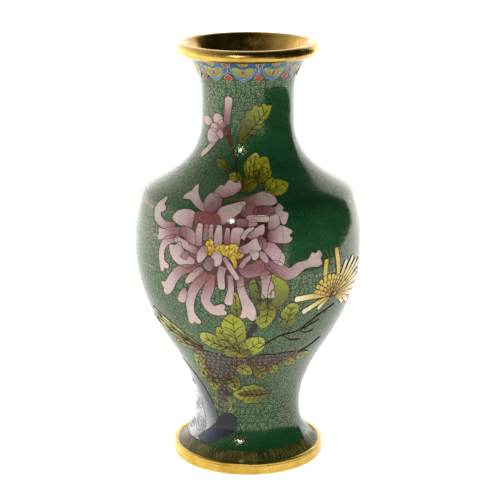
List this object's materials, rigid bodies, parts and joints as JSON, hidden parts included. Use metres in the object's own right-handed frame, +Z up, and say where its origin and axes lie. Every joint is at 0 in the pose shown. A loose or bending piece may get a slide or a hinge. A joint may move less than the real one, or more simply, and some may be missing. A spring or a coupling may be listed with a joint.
{
  "type": "cloisonne vase",
  "caption": "Baluster vase of spun copper with wired enamel flowers on a green ground, a rolled brass lip and a brass foot ring.",
  "frame": {"origin": "centre of the foot ring's underside, on the surface that the vase stands on", "axes": "+Z up along the vase's axis, the main flower faces -Y, +X to its right"},
  "size_m": [0.1336, 0.1336, 0.25],
  "materials": {
    "brass": "polished, satin on the foot ring",
    "copper": "bare copper, oxidised",
    "wire": "gilt copper wire, polished flush",
    "turquoise": "gloss enamel",
    "green": "gloss enamel",
    "blue": "gloss enamel",
    "olive": "gloss enamel, mottled",
    "pink": "gloss enamel, shaded",
    "yellow": "gloss enamel",
    "leaf": "gloss enamel, shaded",
    "bark": "gloss enamel",
    "rock": "gloss enamel, shaded"
  },
  "bodies": {
    "root": {"copper_foot": "copper", "copper_flank": "copper", "copper_belly": "copper", "copper_shoulder": "copper", "copper_neck": "copper", "lip_ring": "brass", "foot_ring": "brass", "base_plate": "copper", "base_enamel": "turquoise", "lining": "turquoise", "flower_heart": "yellow", "pink_flower": "pink", "pink_flower_wire": "wire", "bud": "pink", "bud_wire": "wire", "neck_leaf": "leaf", "neck_leaf_wire": "wire", "upper_leaf": "leaf", "shoulder_leaf": "leaf", "side_leaf": "leaf", "flank_leaf": "leaf", "small_leaf": "leaf", "crown_leaves": "leaf", "pale_leaves": "leaf", "left_root": "bark", "right_root": "bark", "low_leaves": "leaf", "waist_leaf": "leaf", "waist_leaf_wire": "wire", "trunk": "bark", "rock": "rock", "yellow_flower": "yellow", "yellow_flower_wire": "wire", "back_heart": "yellow", "back_flower": "pink", "back_branch": "bark", "back_leaf": "leaf", "back_low_leaf": "leaf", "back_bud": "pink", "ground_enamel": "green", "neck_border": "blue", "foot_border": "olive"}
  },
  "joints": []
}
